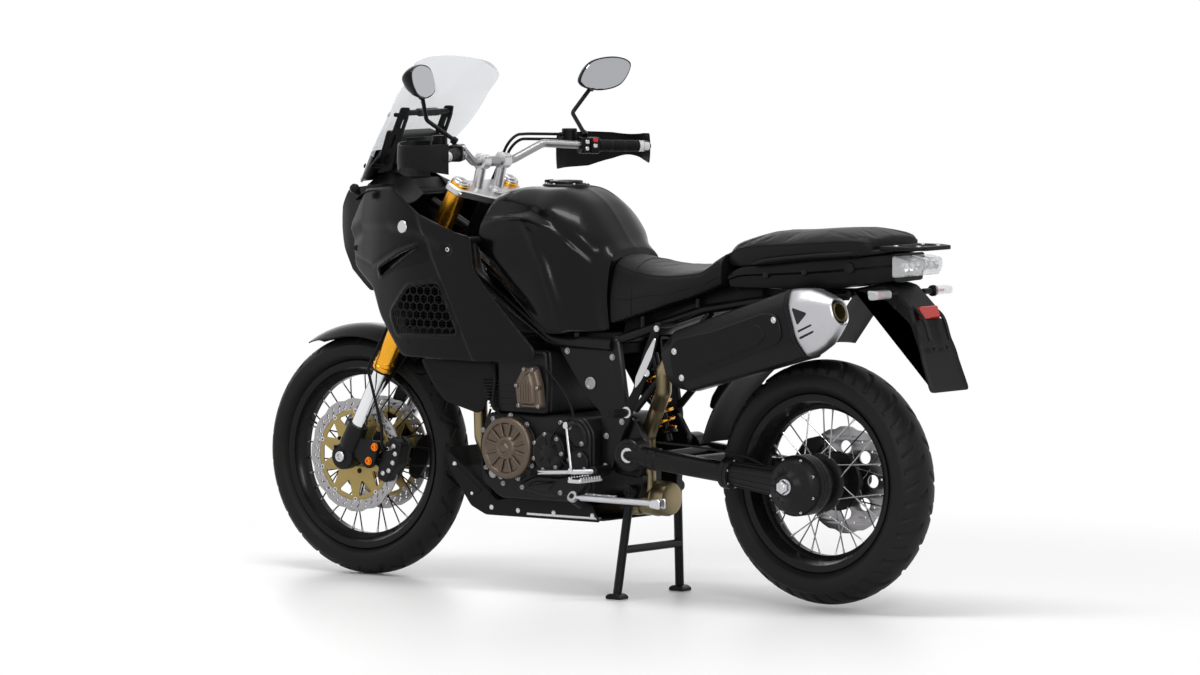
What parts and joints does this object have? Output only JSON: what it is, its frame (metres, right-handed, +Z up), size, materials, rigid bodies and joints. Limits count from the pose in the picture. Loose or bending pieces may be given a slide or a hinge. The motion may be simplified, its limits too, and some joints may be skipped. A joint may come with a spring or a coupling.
{
  "type": "adventure motorcycle",
  "caption": "Shaft-driven adventure motorcycle on laced wheels with tall windscreen, twin headlights, hand guards, high muffler and luggage rack, parked on its centre stand.",
  "frame": {"origin": "on the floor under the middle of the machine's box", "axes": "+X forwards, +Y to the rider's left, +Z up"},
  "size_m": [2.2589, 0.998, 1.422],
  "materials": {
    "bar_controls": "moulded",
    "brake_hoses": "moulded",
    "center_stand": "black",
    "cylinder_head": "black painted casting",
    "engine_case": "black painted casting",
    "engine_covers": "bronze painted",
    "exhaust_pipes": "heat tinted",
    "final_drive": "black painted casting",
    "footrests": "silver",
    "fork_bottoms": "black painted casting",
    "fork_sleeves": "gold anodised",
    "fork_tubes": "hard chrome",
    "front_axle": "turned",
    "front_calipers": "black painted",
    "front_disc_carriers": "gold anodised",
    "front_discs": "ground",
    "front_fender": "moulded",
    "front_hub": "black painted casting",
    "front_rim": "black anodised",
    "front_spokes": "black coated",
    "front_tyre": "tread rubber",
    "fuel_cap": "satin",
    "fuel_tank": "gloss black",
    "grilles": "moulded",
    "grips": "moulded",
    "hand_guards": "moulded",
    "handlebar": "silver anodised",
    "headlights": "clear lens",
    "indicators": "moulded",
    "instrument_panel": "moulded",
    "luggage_rack": "black powder coat",
    "main_frame": "black",
    "mirror_glass": "silvered",
    "mirrors": "moulded",
    "muffler": "satin black",
    "muffler_cap": "satin silver",
    "nose_cowl": "gloss black",
    "passenger_rests": "black painted",
    "passenger_seat": "grained vinyl",
    "plate_holder": "moulded",
    "radiator": "black",
    "rear_axle": "turned",
    "rear_caliper": "black painted",
    "rear_disc": "ground",
    "rear_hub": "black painted casting",
    "rear_rim": "black anodised",
    "rear_shock": "black spring",
    "rear_spokes": "bright",
    "rear_tyre": "tread rubber",
    "rider_seat": "grained vinyl",
    "side_cowls": "gloss black",
    "side_stand": "silver",
    "skid_plate": "dark, bright rail",
    "subframe": "black",
    "swingarm": "black painted",
    "tail_cowl": "black",
    "tail_light": "clear lens",
    "triple_clamps": "silver painted",
    "windscreen": "clear acrylic"
  },
  "bodies": {
    "chassis": {"cylinder_head": "cylinder_head", "engine_case": "engine_case", "engine_covers": "engine_covers", "exhaust_pipes": "exhaust_pipes", "final_drive": "final_drive", "footrests": "footrests", "fuel_tank": "fuel_tank", "grilles": "grilles", "headlights": "headlights", "indicators": "indicators", "instrument_panel": "instrument_panel", "luggage_rack": "luggage_rack", "main_frame": "main_frame", "muffler": "muffler", "muffler_cap": "muffler_cap", "nose_cowl": "nose_cowl", "passenger_rests": "passenger_rests", "passenger_seat": "passenger_seat", "plate_holder": "plate_holder", "radiator": "radiator", "rear_axle": "rear_axle", "rear_caliper": "rear_caliper", "rear_shock": "rear_shock", "rider_seat": "rider_seat", "side_cowls": "side_cowls", "skid_plate": "skid_plate", "subframe": "subframe", "swingarm": "swingarm", "tail_cowl": "tail_cowl", "tail_light": "tail_light", "windscreen": "windscreen"},
    "steering": {"fork_bottoms": "fork_bottoms", "front_axle": "front_axle", "fork_tubes": "fork_tubes", "fork_sleeves": "fork_sleeves", "triple_clamps": "triple_clamps", "handlebar": "handlebar", "grips": "grips", "bar_controls": "bar_controls", "hand_guards": "hand_guards", "mirrors": "mirrors", "mirror_glass": "mirror_glass", "front_fender": "front_fender", "front_calipers": "front_calipers", "brake_hoses": "brake_hoses"},
    "front_wheel": {"front_tyre": "front_tyre", "front_rim": "front_rim", "front_spokes": "front_spokes", "front_hub": "front_hub", "front_disc_carriers": "front_disc_carriers", "front_discs": "front_discs"},
    "rear_wheel": {"rear_tyre": "rear_tyre", "rear_rim": "rear_rim", "rear_spokes": "rear_spokes", "rear_hub": "rear_hub", "rear_disc": "rear_disc"},
    "center_stand": {"center_stand": "center_stand"},
    "side_stand": {"side_stand": "side_stand"},
    "fuel_cap": {"fuel_cap": "fuel_cap"}
  },
  "joints": [
    {"name": "steering", "type": "hinge", "parent": "chassis", "child": "steering", "pos_m": [0.4292, 0, 0.9268], "axis": [-0.4695, 0, 0.8829], "range_deg": [-35, 35]},
    {"name": "front_wheel_spin", "type": "hinge", "parent": "steering", "child": "front_wheel", "pos_m": [0.796, 0, 0.329], "axis": [0, 1, 0], "continuous": true},
    {"name": "rear_wheel_spin", "type": "hinge", "parent": "chassis", "child": "rear_wheel", "pos_m": [-0.744, 0, 0.333], "axis": [0, 1, 0], "continuous": true},
    {"name": "center_stand_fold", "type": "hinge", "parent": "chassis", "child": "center_stand", "pos_m": [-0.176, 0, 0.286], "axis": [0, 1, 0], "range_deg": [0, 84]},
    {"name": "side_stand_fold", "type": "hinge", "parent": "chassis", "child": "side_stand", "pos_m": [-0.042, 0.18, 0.268], "axis": [-0.07, -0.8748, -0.4794], "range_deg": [0, 121.3]},
    {"name": "fuel_cap_lid", "type": "hinge", "parent": "chassis", "child": "fuel_cap", "pos_m": [0.176, 0, 1.093], "axis": [0, 1, 0], "range_deg": [0, 95]}
  ]
}
